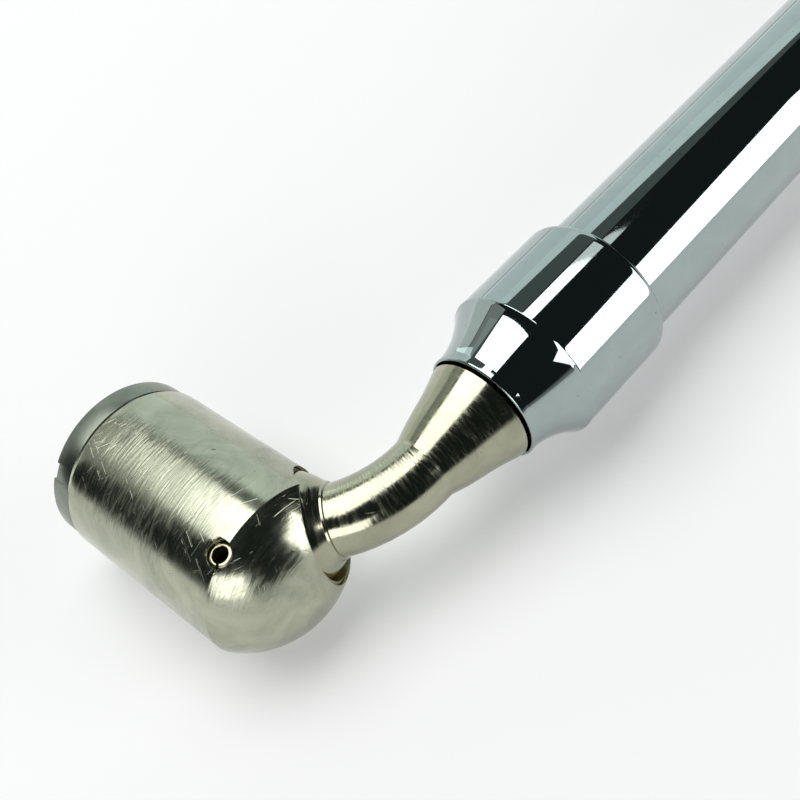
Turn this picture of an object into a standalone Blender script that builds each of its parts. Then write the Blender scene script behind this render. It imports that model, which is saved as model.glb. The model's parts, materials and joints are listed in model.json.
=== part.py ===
"""Telescopic magnetic pickup tool with a swivelling magnet head.

The tool lies on a bench. Its tube runs along +X, the magnet head points along +Y, and both touch
the bench at z = 0. Units are metres. Every turned piece is a profile of (radius, height) points
spun about the Z axis of the empty that it belongs to:

  tube_axis    on the tube's centre line, Z towards the rear end, heights counted from the neck's bend
  swivel_axis  at the centre of the head's dome, Z along the slanted swivel, towards the neck
  head_axis    at the centre of the head's dome, Z towards the magnet's face
"""
import math

import bmesh
import bpy
from mathutils import Matrix, Vector

MM = 0.001

# Magnet head
HEAD_RADIUS = 9.5 * MM
DOME_RADIUS = 10.7 * MM
HEAD_BARREL = 21.8 * MM          # from the dome's edge to the magnet cup's rim
EDGE_CHAMFER = 0.15 * MM
CUP_BORE_RADIUS = 8.0 * MM       # bore of the shell that holds the magnet cup
CUP_BORE_DEPTH = 7.5 * MM
CUP_RIM_RADIUS = 9.3 * MM
CUP_RIM_HEIGHT = 2.9 * MM
CUP_INNER_RADIUS = 6.6 * MM
CUP_FLOOR = 1.6 * MM
NOTCH_WIDTH = 1.8 * MM
NOTCH_DEPTH = 0.5 * MM
NOTCH_TURN = math.radians(55)    # of the two notches, about the head's axis
MAGNET_RADIUS = 5.7 * MM
POLE_PLATE = 0.8 * MM

# Slanted swivel between head and neck
SWIVEL_SLANT = math.radians(45)  # to the head's axis, and the neck's bend
SWIVEL_TWIST = math.radians(19)  # head turned this far back from its square position
BORE_RADIUS = 6.25 * MM
BORE_FLOOR = -4.6 * MM           # heights along the swivel from the dome's centre
SPIGOT_RADIUS = 5.7 * MM
SPIGOT_FOOT = -2.2 * MM
SPIGOT_SHOULDER = 7.6 * MM
PIN_HEIGHT = 1.49 * MM
PIN_OFFSET = 4.77 * MM           # pin's axis to the swivel's axis
PIN_RADIUS = 1.25 * MM
PIN_BORE = 0.85 * MM
PIN_CHAMFER = 0.15 * MM
PIN_SLIT = 0.3 * MM
BUSH_HEIGHTS = (4.0 * MM, 10.0 * MM)
BUSH_SINK = 0.4 * MM             # depth of the bush below the head's surface
PAD_HEIGHT = 0.8 * MM
SPRING_RADII = (3.3 * MM, 5.2 * MM)
SPRING_WIRE = 0.3 * MM
SPRING_WAVE = 0.3 * MM
SPRING_WAVES = 3

# Neck
ROD_RADIUS = 3.78 * MM
BASE_HEIGHT = 10.0 * MM          # where the rod leaves the spigot, along the swivel
BEND_RADIUS = 12.5 * MM
CONE_END = 9.15 * MM             # heights along the tube, from the end of the bend
CONE_RADIUS = 6.25 * MM
BOSS_RADIUS = 5.8 * MM
BOSS_END = 12.95 * MM
STUD_RADIUS = 1.5 * MM
STUD_HEAD_RADIUS = 2.2 * MM
STUD_SPAN = (6.2 * MM, 24.0 * MM)

# Nose ferrule and outer tube
FERRULE_FRONT = 9.35 * MM
FERRULE_MOUTH = 6.3 * MM
FERRULE_LIP = 6.65 * MM
FERRULE_CORNER = 15.9 * MM
FERRULE_RADIUS = 9.1 * MM
FERRULE_REAR = 28.9 * MM
TUBE_RADIUS = 7.85 * MM
TUBE_WALL = 0.6 * MM
TUBE_FRONT = 20.3 * MM
TUBE_REAR = 172.0 * MM

# Telescopic sections, largest first; the last one is the tip
SECTION_RADII = (6.0 * MM, 5.0 * MM, 4.0 * MM, 3.0 * MM)
SECTION_WALL = 0.45 * MM
SECTION_FRONT = 14.6 * MM
SECTION_STEP = 0.5 * MM          # each smaller section starts this much further forward
SECTION_REAR = 160.0 * MM
LIP_LENGTH = 2.0 * MM
SLEEVE_LENGTH = 9.0 * MM

# Rear end
GRIP_SPAN = (95.0 * MM, 171.6 * MM)
CAP_RADIUS = 9.6 * MM
CAP_END = 178.0 * MM
CAP_PLUG_START = 163.0 * MM

GAP = 0.1 * MM                   # between pieces that are fixed to each other
RUNNING_GAP = 0.12 * MM          # between pieces that move

FINE, MEDIUM, COARSE = 48, 40, 32

# Derived sizes
DOME_RISE = math.sqrt(DOME_RADIUS ** 2 - HEAD_RADIUS ** 2)   # dome's centre to its edge
SEAM = HEAD_BARREL - DOME_RISE                               # heights along the head's axis
FACE = SEAM + CUP_RIM_HEIGHT
CUP_BORE_FLOOR = SEAM - CUP_BORE_DEPTH
BEND_REACH = BEND_RADIUS * math.tan(SWIVEL_SLANT / 2)


def axis_directions():
    """Directions of the head's axis (to the magnet) and of the swivel (to the neck) on the bench."""
    slant = SWIVEL_SLANT
    head_x = math.sin(slant) ** 2 * math.cos(SWIVEL_TWIST) - math.cos(slant) ** 2
    head = Vector((head_x, math.sqrt(1 - head_x ** 2), 0))
    swivel_y = -(math.cos(slant) + math.cos(slant) * head.x) / head.y
    swivel_z = math.sqrt(1 - math.cos(slant) ** 2 - swivel_y ** 2)
    return head, Vector((math.cos(slant), swivel_y, swivel_z))


HEAD_DIR, SWIVEL_DIR = axis_directions()
PIN_DIR = SWIVEL_DIR.cross(HEAD_DIR).normalized()
TUBE_DIR = Vector((1, 0, 0))
SWIVEL_REACH = BASE_HEIGHT + BEND_REACH
TUBE_HEIGHT = HEAD_RADIUS + SWIVEL_REACH * SWIVEL_DIR.z
GRIP_RADIUS = TUBE_HEIGHT        # so the tool lies level on the bench


def placed_axes():
    """The bend's end and the dome's centre, with the origin under the middle of the whole tool."""
    bend_end = Vector((0, 0, TUBE_HEIGHT))
    dome = bend_end - TUBE_DIR * BEND_REACH - SWIVEL_DIR * SWIVEL_REACH
    low_x = dome.x + HEAD_DIR.x * SEAM - HEAD_RADIUS * HEAD_DIR.y
    high_y = dome.y + HEAD_DIR.y * FACE + CUP_RIM_RADIUS * abs(HEAD_DIR.x)
    middle = Vector(((low_x + CAP_END) / 2, (high_y - GRIP_RADIUS) / 2, 0))
    return bend_end - middle, dome - middle


BEND_END, DOME_CENTRE = placed_axes()


def clear_scene():
    for obj in list(bpy.data.objects):
        bpy.data.objects.remove(obj, do_unlink=True)


def make_material(name, colour, roughness, metallic):
    material = bpy.data.materials.new(name)
    material.use_nodes = True
    shader = material.node_tree.nodes["Principled BSDF"]
    shader.inputs["Base Color"].default_value = (*colour, 1)
    shader.inputs["Roughness"].default_value = roughness
    shader.inputs["Metallic"].default_value = metallic
    return material


def make_axis(name, origin, z_dir, y_dir):
    x_dir = y_dir.cross(z_dir).normalized()
    y_dir = z_dir.cross(x_dir).normalized()
    turn = Matrix((x_dir, y_dir, z_dir)).transposed().to_4x4()
    empty = bpy.data.objects.new(name, None)
    bpy.context.scene.collection.objects.link(empty)
    empty.matrix_world = Matrix.Translation(origin) @ turn
    return empty


def add_piece(name, bm, parent, material, sharp_angle=35):
    """Makes an object of a finished bmesh, hung on an axis."""
    bmesh.ops.remove_doubles(bm, verts=bm.verts, dist=1e-7)
    bmesh.ops.recalc_face_normals(bm, faces=bm.faces)
    mesh = bpy.data.meshes.new(name)
    bm.to_mesh(mesh)
    bm.free()
    mesh.shade_smooth()
    mesh.set_sharp_from_angle(angle=math.radians(sharp_angle))
    piece = bpy.data.objects.new(name, mesh)
    bpy.context.scene.collection.objects.link(piece)
    piece.parent = parent
    if material:
        mesh.materials.append(material)
    return piece


def turned_bmesh(profile, segments):
    """Spins a profile of (radius, height) points; one that starts and ends off the axis is closed."""
    bm = bmesh.new()
    verts = [bm.verts.new((radius, 0, height)) for radius, height in profile]
    edges = [bm.edges.new(pair) for pair in zip(verts[:-1], verts[1:])]
    if profile[0][0] > 0 or profile[-1][0] > 0:
        edges.append(bm.edges.new((verts[-1], verts[0])))
    bmesh.ops.spin(bm, geom=verts + edges, cent=(0, 0, 0), axis=(0, 0, 1), angle=math.tau,
                   steps=segments, use_merge=True)
    bmesh.ops.remove_doubles(bm, verts=bm.verts, dist=1e-7)
    return bm


def turned(name, profile, segments, parent, material):
    return add_piece(name, turned_bmesh(profile, segments), parent, material)


def tube_profile(inner, outer, start, end, chamfer=0.0):
    """Profile of a plain ring or tube; chamfer breaks its two outer edges."""
    profile = [(inner, start), (inner, end)]
    if chamfer:
        profile += [(outer - chamfer, end), (outer, end - chamfer), (outer, start + chamfer),
                    (outer - chamfer, start)]
    else:
        profile += [(outer, end), (outer, start)]
    return profile


def disc_profile(radius, start, end, chamfer=0.0):
    profile = [(0, start)]
    if chamfer:
        profile += [(radius - chamfer, start), (radius, start + chamfer), (radius, end - chamfer),
                    (radius - chamfer, end)]
    else:
        profile += [(radius, start), (radius, end)]
    return profile + [(0, end)]


def arc(centre, radius, start, end, steps):
    """Points on an arc in the (radius, height) plane, angles in degrees from the radius axis."""
    points = []
    for step in range(steps + 1):
        angle = math.radians(start + (end - start) * step / steps)
        points.append((centre[0] + radius * math.cos(angle), centre[1] + radius * math.sin(angle)))
    return points


def lofted_bmesh(rings, segments):
    """Closed round body through rings of (centre, u, v, radius); u and v span each ring's plane."""
    bm = bmesh.new()
    loops = []
    for centre, u, v, radius in rings:
        turns = [math.tau * step / segments for step in range(segments)]
        loops.append([bm.verts.new(centre + (u * math.cos(t) + v * math.sin(t)) * radius) for t in turns])
    for low, high in zip(loops[:-1], loops[1:]):
        for step in range(segments):
            after = (step + 1) % segments
            bm.faces.new((low[step], low[after], high[after], high[step]))
    bm.faces.new(list(reversed(loops[0])))
    bm.faces.new(loops[-1])
    return bm


def cut(piece, cutter, operation="DIFFERENCE"):
    """Cuts one piece with another, which stays as a hidden guide; INTERSECT keeps what is inside it."""
    cutter.hide_render = True
    cutter.display_type = "WIRE"
    modifier = piece.modifiers.new(f"cut_{cutter.name}", "BOOLEAN")
    modifier.operation = operation
    modifier.object = cutter


def box_cutter(name, size, centre, turn, parent):
    bm = bmesh.new()
    bmesh.ops.create_cube(bm, size=1)
    bmesh.ops.scale(bm, vec=size, verts=bm.verts)
    bmesh.ops.translate(bm, vec=centre, verts=bm.verts)
    bmesh.ops.rotate(bm, cent=(0, 0, 0), matrix=Matrix.Rotation(turn, 3, "Z"), verts=bm.verts)
    return add_piece(name, bm, parent, None)


def make_head(head_axis, swivel_axis, materials):
    dome_edge = math.degrees(math.atan2(-DOME_RISE, HEAD_RADIUS))
    shell_profile = arc((0, 0), DOME_RADIUS, -90, dome_edge, 9)
    shell_profile[0] = (0, -DOME_RADIUS)
    shell_profile += [(HEAD_RADIUS, SEAM - EDGE_CHAMFER), (HEAD_RADIUS - EDGE_CHAMFER, SEAM),
                      (CUP_BORE_RADIUS, SEAM), (CUP_BORE_RADIUS, CUP_BORE_FLOOR), (0, CUP_BORE_FLOOR)]
    shell = turned("head_shell", shell_profile, FINE, head_axis, materials["nickel"])
    bore = turned("swivel_bore_cutter", disc_profile(BORE_RADIUS, BORE_FLOOR, 2 * DOME_RADIUS), FINE,
                  swivel_axis, None)
    cut(shell, bore)

    pin_seat = make_pin_axis(head_axis)
    far_edge = pin_seat.location.x + PIN_RADIUS - PIN_CHAMFER
    pin_half_length = math.sqrt(HEAD_RADIUS ** 2 - far_edge ** 2)
    hole = turned("pin_hole_cutter", disc_profile(PIN_RADIUS + GAP, -2 * HEAD_RADIUS, 2 * HEAD_RADIUS), COARSE,
                  pin_seat, None)
    cut(shell, hole)
    make_roll_pin(pin_half_length, pin_seat, materials["spring_steel"])

    make_magnet_set(head_axis, materials)

    make_swivel_bush(head_axis, swivel_axis, materials["brass"])
    pad_top = SPIGOT_FOOT - RUNNING_GAP
    pad_radius = BORE_RADIUS - 3 * GAP
    turned("friction_pad", disc_profile(pad_radius, pad_top - PAD_HEIGHT, pad_top, GAP), COARSE, swivel_axis,
           materials["nylon"])
    make_wave_spring((BORE_FLOOR + pad_top - PAD_HEIGHT) / 2, swivel_axis, materials["spring_steel"])


def make_swivel_bush(head_axis, swivel_axis, brass):
    """Ring round the spigot that stays a little below the head's surface all round the mouth."""
    low, high = BUSH_HEIGHTS
    bush = turned("swivel_bush", tube_profile(SPIGOT_RADIUS + RUNNING_GAP, BORE_RADIUS - GAP, low, high), FINE,
                  swivel_axis, brass)
    dome, barrel = DOME_RADIUS - BUSH_SINK, HEAD_RADIUS - BUSH_SINK
    edge = math.degrees(math.atan2(-math.sqrt(dome ** 2 - barrel ** 2), barrel))
    outline = arc((0, 0), dome, -90, edge, 9)
    outline[0] = (0, -dome)
    outline += [(barrel, SEAM - BUSH_SINK), (0, SEAM - BUSH_SINK)]
    cut(bush, turned("bush_outline_cutter", outline, FINE, head_axis, None), "INTERSECT")


def make_pin_axis(head_axis):
    """Centre of the retaining pin, which crosses the head beside the swivel's axis."""
    slant = SWIVEL_SLANT
    away = PIN_OFFSET * math.cos(slant) - PIN_HEIGHT * math.sin(slant)
    back = -PIN_OFFSET * math.sin(slant) - PIN_HEIGHT * math.cos(slant)
    seat = bpy.data.objects.new("pin_axis", None)
    bpy.context.scene.collection.objects.link(seat)
    seat.parent = head_axis
    seat.location = (away, 0, back)
    seat.rotation_euler = (math.radians(-90), 0, 0)
    return seat


def make_roll_pin(half_length, parent, material):
    """Spring pin: a rolled tube with a slit along it and chamfered ends."""
    profile = tube_profile(PIN_BORE, PIN_RADIUS, -half_length, half_length, PIN_CHAMFER)
    tube = turned("roll_pin", profile, COARSE, parent, material)
    slit = box_cutter("pin_slit_cutter", (2 * PIN_RADIUS, PIN_SLIT, 3 * half_length), (PIN_RADIUS, 0, 0),
                      math.radians(8), parent)
    cut(tube, slit)


def make_magnet_set(head_axis, materials):
    cup_bottom = CUP_BORE_FLOOR + GAP
    cup_top = FACE
    chamfer = 2 * EDGE_CHAMFER
    floor = cup_bottom + CUP_FLOOR
    body_radius = CUP_BORE_RADIUS - GAP
    cup = turned("magnet_cup", [(0, cup_bottom), (body_radius, cup_bottom), (body_radius, SEAM + GAP),
                                (CUP_RIM_RADIUS, SEAM + GAP), (CUP_RIM_RADIUS, cup_top - chamfer),
                                (CUP_RIM_RADIUS - chamfer, cup_top), (CUP_INNER_RADIUS, cup_top),
                                (CUP_INNER_RADIUS, floor), (0, floor)], FINE, head_axis, materials["steel"])
    notch = box_cutter("notch_cutter", (3 * HEAD_RADIUS, NOTCH_WIDTH, 2 * NOTCH_DEPTH), (0, 0, cup_top),
                       NOTCH_TURN, head_axis)
    cut(cup, notch)
    plate_bottom = FACE - POLE_PLATE
    turned("magnet", disc_profile(MAGNET_RADIUS, floor + GAP, plate_bottom - GAP, GAP), MEDIUM, head_axis,
           materials["magnet"])
    turned("pole_plate", disc_profile(MAGNET_RADIUS, plate_bottom, FACE - GAP, GAP), MEDIUM, head_axis,
           materials["steel"])
    turned("spacer_ring", tube_profile(MAGNET_RADIUS + GAP, CUP_INNER_RADIUS - GAP, floor + GAP,
                                       FACE - 3 * GAP), MEDIUM, head_axis, materials["brass"])


def make_wave_spring(height, parent, material):
    """Washer bent into waves, which presses the friction pad against the spigot."""
    inner, outer = SPRING_RADII
    half = SPRING_WIRE / 2
    corners = ((inner, -half), (outer, -half), (outer, half), (inner, half))
    steps = 12 * SPRING_WAVES
    bm = bmesh.new()
    sections = []
    for step in range(steps):
        turn = math.tau * step / steps
        rise = height + SPRING_WAVE * math.sin(SPRING_WAVES * turn)
        sections.append([bm.verts.new((radius * math.cos(turn), radius * math.sin(turn), rise + offset))
                         for radius, offset in corners])
    for step in range(steps):
        here, after = sections[step], sections[(step + 1) % steps]
        for side in range(len(corners)):
            across = (side + 1) % len(corners)
            bm.faces.new((here[side], here[across], after[across], after[side]))
    add_piece("wave_spring", bm, parent, material)


def spigot_rings():
    """(radius, height along the swivel) of the neck's spigot, from its foot to the bent rod."""
    floor = PIN_OFFSET - PIN_RADIUS - RUNNING_GAP
    below = PIN_HEIGHT - PIN_RADIUS - RUNNING_GAP
    above = PIN_HEIGHT + PIN_RADIUS + RUNNING_GAP
    chamfer = 2 * EDGE_CHAMFER
    return [(SPIGOT_RADIUS - chamfer, SPIGOT_FOOT), (SPIGOT_RADIUS, SPIGOT_FOOT + chamfer),
            (SPIGOT_RADIUS, below), (floor, below), (floor, above), (SPIGOT_RADIUS, above),
            (SPIGOT_RADIUS, SPIGOT_SHOULDER - chamfer), (SPIGOT_RADIUS - chamfer, SPIGOT_SHOULDER),
            (ROD_RADIUS + 0.9 * MM, BASE_HEIGHT - 0.8 * MM), (ROD_RADIUS + 0.2 * MM, BASE_HEIGHT - 0.1 * MM),
            (ROD_RADIUS, BASE_HEIGHT)]


def cone_rings():
    """(radius, height along the tube) from the end of the bend to the boss inside the ferrule."""
    edge = 0.5 * MM
    return [(ROD_RADIUS, 0.5 * MM), (ROD_RADIUS + 0.25 * MM, 1.0 * MM),
            (CONE_RADIUS - edge, CONE_END - 1.6 * MM), (CONE_RADIUS - 0.12 * MM, CONE_END - edge),
            (CONE_RADIUS, CONE_END - 0.15 * MM), (CONE_RADIUS - 0.15 * MM, CONE_END),
            (BOSS_RADIUS, CONE_END), (BOSS_RADIUS, BOSS_END)]


def make_neck(tube_axis, materials):
    """Spigot, bent rod and flared cone in one piece, with the threaded stud behind it."""
    to_local = tube_axis.matrix_world.to_3x3().transposed()
    swivel = to_local @ SWIVEL_DIR
    along = Vector((0, 0, 1))
    side = swivel.cross(along).normalized()
    inward = (along - swivel * along.dot(swivel)).normalized()
    base = -along * BEND_REACH - swivel * BEND_REACH
    dome = base - swivel * BASE_HEIGHT
    rings = [(dome + swivel * height, side, inward, radius) for radius, height in spigot_rings()]
    bend_steps = 8
    for step in range(1, bend_steps + 1):
        turn = SWIVEL_SLANT * step / bend_steps
        centre = base + (swivel * math.sin(turn) + inward * (1 - math.cos(turn))) * BEND_RADIUS
        rings.append((centre, side, inward * math.cos(turn) - swivel * math.sin(turn), ROD_RADIUS))
    last_v = rings[-1][2]
    rings += [(along * height, side, last_v, radius) for radius, height in cone_rings()]
    neck = add_piece("swivel_neck", lofted_bmesh(rings, FINE), tube_axis, materials["nickel"])
    start, end = STUD_SPAN
    tapped_hole = turned("stud_hole_cutter", disc_profile(STUD_RADIUS + GAP, start - GAP, 2 * BOSS_END), COARSE,
                         tube_axis, None)
    cut(neck, tapped_hole)
    head_start = end - 2 * MM
    turned("neck_stud", [(0, start), (STUD_RADIUS, start), (STUD_RADIUS, head_start),
                         (STUD_HEAD_RADIUS, head_start), (STUD_HEAD_RADIUS, end), (0, end)], COARSE, tube_axis,
           materials["steel"])


def make_sections(tube_axis, materials):
    """Nested tubes, each with a rolled-in lip in front and a friction sleeve at the rear."""
    housing_bore = TUBE_RADIUS - TUBE_WALL
    for index, radius in enumerate(SECTION_RADII):
        is_tip = index == len(SECTION_RADII) - 1
        number = index + 1
        name = "tip_tube" if is_tip else f"section_{number}"
        front = SECTION_FRONT - SECTION_STEP * index
        bore = radius - SECTION_WALL
        sleeve_start = SECTION_REAR - SLEEVE_LENGTH
        profile = [(bore, SECTION_REAR), (bore, front)]
        if not is_tip:
            lip = SECTION_RADII[index + 1] + RUNNING_GAP
            profile = [(bore, SECTION_REAR), (bore, front + LIP_LENGTH), (lip, front + 0.7 * LIP_LENGTH),
                       (lip, front)]
        edge = 0.2 * MM
        profile += [(radius - edge, front), (radius, front + edge), (radius, SECTION_REAR)]
        turned(name, profile, COARSE, tube_axis, materials["chrome"])
        turned(f"friction_sleeve_{number}",
               tube_profile(radius + GAP, housing_bore - RUNNING_GAP, sleeve_start, SECTION_REAR), COARSE,
               tube_axis, materials["brass"])
        housing_bore = bore
    bush_start = SECTION_FRONT - SECTION_STEP * (len(SECTION_RADII) - 1)
    bush_end = STUD_SPAN[1] - 2 * MM - RUNNING_GAP
    turned("tip_bush", tube_profile(STUD_RADIUS + RUNNING_GAP, housing_bore - GAP, bush_start, bush_end), COARSE,
           tube_axis, materials["brass"])


def ferrule_profile():
    """Nose ferrule: narrow rolled lip, hollow flare, sharp shoulder, barrel and rounded rear rim."""
    lip_round = 0.25 * MM
    flare_start = (FERRULE_LIP + 0.1 * MM, FERRULE_FRONT + 1.3 * MM)
    flare_end = (FERRULE_RADIUS, FERRULE_CORNER)
    flare = []
    steps = 6
    for step in range(steps + 1):
        share = step / steps
        bulge = share ** 1.7
        flare.append((flare_start[0] + (flare_end[0] - flare_start[0]) * bulge,
                      flare_start[1] + (flare_end[1] - flare_start[1]) * share))
    rear_round = 1.0 * MM
    rear_arc = arc((FERRULE_RADIUS - rear_round, FERRULE_REAR - rear_round), rear_round, 0, 90, 4)
    seat = TUBE_RADIUS + GAP
    return ([(FERRULE_MOUTH, FERRULE_FRONT), (FERRULE_LIP - lip_round, FERRULE_FRONT),
             (FERRULE_LIP, FERRULE_FRONT + lip_round)] + flare + rear_arc
            + [(seat, FERRULE_REAR), (seat, TUBE_FRONT - GAP), (FERRULE_MOUTH + MM, TUBE_FRONT - GAP),
               (FERRULE_MOUTH + MM, SECTION_FRONT), (FERRULE_MOUTH, SECTION_FRONT)])


def make_casing(tube_axis, materials):
    turned("nose_ferrule", ferrule_profile(), FINE, tube_axis, materials["chrome"])
    bush_start = SECTION_FRONT + GAP
    turned("guide_bush", tube_profile(SECTION_RADII[0] + RUNNING_GAP, FERRULE_MOUTH + MM - GAP, bush_start,
                                      TUBE_FRONT - 2 * GAP), MEDIUM, tube_axis, materials["nylon"])
    turned("outer_tube", tube_profile(TUBE_RADIUS - TUBE_WALL, TUBE_RADIUS, TUBE_FRONT, TUBE_REAR), FINE,
           tube_axis, materials["chrome"])
    start, end = GRIP_SPAN
    nose_radius = TUBE_RADIUS + 1.2 * MM
    end_round = 1.6 * MM
    grip = [(TUBE_RADIUS + GAP, start), (nose_radius, start), (nose_radius + 1.4 * MM, start + 2.5 * MM),
            (GRIP_RADIUS - 0.5 * MM, start + 7 * MM), (GRIP_RADIUS, start + 10 * MM)]
    grip += arc((GRIP_RADIUS - end_round, end - end_round), end_round, 0, 90, 4)
    grip += [(TUBE_RADIUS + GAP, end)]
    turned("grip", grip, FINE, tube_axis, materials["rubber"])
    plug_radius = TUBE_RADIUS - TUBE_WALL - GAP
    cap_start = TUBE_REAR + GAP
    cap_round = 1.5 * MM
    cap = [(0, CAP_PLUG_START), (plug_radius - MM, CAP_PLUG_START), (plug_radius, CAP_PLUG_START + MM),
           (plug_radius, cap_start), (CAP_RADIUS, cap_start)]
    cap += arc((CAP_RADIUS - cap_round, CAP_END - cap_round), cap_round, 0, 90, 4)
    turned("end_cap", cap + [(0, CAP_END)], MEDIUM, tube_axis, materials["chrome"])


def make_materials():
    return {
        "nickel": make_material("nickel_plate", (0.60, 0.58, 0.50), 0.28, 1.0),
        "steel": make_material("plain_steel", (0.52, 0.54, 0.54), 0.38, 1.0),
        "chrome": make_material("chrome_plate", (0.78, 0.80, 0.82), 0.06, 1.0),
        "brass": make_material("brass", (0.72, 0.56, 0.26), 0.30, 1.0),
        "spring_steel": make_material("spring_steel", (0.55, 0.52, 0.42), 0.30, 1.0),
        "magnet": make_material("magnet", (0.45, 0.46, 0.47), 0.35, 1.0),
        "nylon": make_material("nylon", (0.80, 0.78, 0.70), 0.50, 0.0),
        "rubber": make_material("grip_rubber", (0.03, 0.03, 0.03), 0.70, 0.0),
    }


def main():
    clear_scene()
    materials = make_materials()
    tube_axis = make_axis("tube_axis", BEND_END, TUBE_DIR, Vector((0, 0, 1)))
    swivel_axis = make_axis("swivel_axis", DOME_CENTRE, SWIVEL_DIR, PIN_DIR)
    head_axis = make_axis("head_axis", DOME_CENTRE, HEAD_DIR, PIN_DIR)
    bpy.context.view_layer.update()
    make_head(head_axis, swivel_axis, materials)
    make_neck(tube_axis, materials)
    make_sections(tube_axis, materials)
    make_casing(tube_axis, materials)
    bpy.context.view_layer.update()


main()
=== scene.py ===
"""Looks of the telescopic magnetic pickup tool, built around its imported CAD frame.

Turned pieces are drawn as a profile of (radius, height) points in millimetres and spun about one of
three axes: the tube's, the slanted swivel's and the magnet head's.
"""

import json
import math

import bpy
from mathutils import Euler, Matrix, Vector


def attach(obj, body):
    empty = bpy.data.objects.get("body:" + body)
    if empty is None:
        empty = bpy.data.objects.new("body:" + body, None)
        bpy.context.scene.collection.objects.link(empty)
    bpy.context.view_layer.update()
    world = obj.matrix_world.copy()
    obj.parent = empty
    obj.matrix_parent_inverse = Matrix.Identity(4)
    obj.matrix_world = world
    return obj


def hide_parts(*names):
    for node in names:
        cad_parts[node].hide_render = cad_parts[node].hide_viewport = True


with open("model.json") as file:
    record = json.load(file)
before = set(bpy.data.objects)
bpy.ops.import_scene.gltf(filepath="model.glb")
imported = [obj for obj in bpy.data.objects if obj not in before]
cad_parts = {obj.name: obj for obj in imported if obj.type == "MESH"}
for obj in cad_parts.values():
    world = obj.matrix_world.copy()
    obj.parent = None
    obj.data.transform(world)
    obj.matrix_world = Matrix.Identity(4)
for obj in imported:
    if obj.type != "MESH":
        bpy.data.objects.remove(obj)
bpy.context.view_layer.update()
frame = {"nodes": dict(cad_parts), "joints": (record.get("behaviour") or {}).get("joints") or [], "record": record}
bpy.ops.object.select_all(action="DESELECT")

# Sizes are in millimetres and angles in radians, unless a comment says otherwise
MM = 0.001                        # one millimetre, in Blender's metres
ROUND = 128                       # flats around a turned piece
SECTION_ROUND = 96                # flats around a telescopic section
PIN_ROUND = 64                    # flats around the roll pin and its hole
FIT = 0.1                         # play left between pieces that meet

# Head; heights count from the dome's centre, towards the magnet's face
HEAD_RADIUS = 9.5
DOME_RADIUS = 10.7
DOME_EDGE = math.sqrt(DOME_RADIUS ** 2 - HEAD_RADIUS ** 2)    # how far the barrel starts below the centre
DOME_STEPS = 40
BARREL_ROWS = 28                  # rings along the barrel, so that it shades evenly beside the pin's hole
SHELL_CHAMFER = 0.3
SHELL_DEBURR = 0.12
CUP_BORE_RADIUS = 8.0
CUP_BORE_DEPTH = 7.5
CUP_INNER_RADIUS = 6.6
CUP_FLOOR = 1.6                   # thickness of the cup's bottom
CUP_EDGE = 0.25
CUP_DEBURR = 0.06
NOTCH_WIDTH = 1.8
NOTCH_DEPTH = 0.5
NOTCH_TURN = math.radians(55)
PLATE_EDGE = 0.15
PLATE_LINE = ((0.55, 0.0), (0.53, 0.08), (0.51, 0.0))    # share of the radius and depth
SPACER_ROUNDING = 0.08
MOUTH_RADIUS = 6.25
MOUTH_FLOOR = -4.6
PIN_RADIUS = 1.25
PIN_BORE = 0.85
PIN_CHAMFER = 0.22
PIN_BULGE = 0.1                   # how far the middle of the pin's rounded end lies inside its radius
PIN_BORE_EDGE = 0.05
PIN_SLIT = 0.3
PIN_SLIT_TURN = math.radians(205)
PIN_DEBURR = 0.04
BUSH_PLAY = 0.12
BUSH_TOP = 10.0                   # height to which the bush is drawn before it is trimmed
BUSH_SINK = 0.4                   # how far the bush lies below the head's surface

# Neck; heights count from the dome's centre along the swivel, then from the bend's end along the tube
SPIGOT_RADIUS = 5.7
SPIGOT_SHOULDER = 7.6
SPIGOT_EDGE = 0.3
SPIGOT_CAP_BULGE = 0.12
GROOVE_FLOOR = 3.4
GROOVE_SPAN = (0.12, 2.86)
SPIGOT_FOOT = -2.2
ROD_RADIUS = 3.78
ROD_BASE = 10.0
ROD_FILLET = ((0.25, 0.35), (0.22, 0.12), (0.0, 0.05), (0.0, 0.0))    # outside its radius and below its base
BEND_RADIUS = 12.5
BEND_TURN = math.radians(45)
BEND_REACH = BEND_RADIUS * math.tan(BEND_TURN / 2)
BEND_STEPS = 28
CONE_RADIUS = 6.25
CONE_START = 0.4
CONE_END = 9.15
CONE_RIM = (0.15, 0.8)            # where the cone meets its lip: inside its radius and before its end
CONE_LIP = 0.3
CONE_SWELL = 0.03                 # how much the cone's side waves, as a share of its flare
BOSS_RADIUS = 5.8
BOSS_END = 12.95
STUD_HOLE_RADIUS = 1.6
STUD_HOLE_END = 6.1

# Nose ferrule; its corner's height counts from the bend's end
FERRULE_MOUTH = 6.3
FERRULE_MOUTH_EDGE = (0.12, 0.15)
FERRULE_LIP = 6.65
FERRULE_LIP_ROUND = 0.22
FLARE_START = (0.02, 0.9)         # inside the lip's radius and behind its front
FLARE_STRAIGHT = 0.25             # share of the flare that widens evenly; the rest widens by a power
FLARE_POWER = 2.1
FERRULE_CORNER = 15.9
FERRULE_CORNER_LEAD = 0.1         # how far before the corner the flare ends
FERRULE_CORNER_ROUND = 0.12
FERRULE_REAR_ROUND = 1.0
FERRULE_HOLD = 0.25               # distance of the rings that keep the barrel's side shading straight
FERRULE_SEAT_PLAY = 0.08
FERRULE_SEAT_EDGE = (0.05, 0.1)
FERRULE_SECTION_ROOM = 7.3        # radius of the room for the first section

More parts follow.
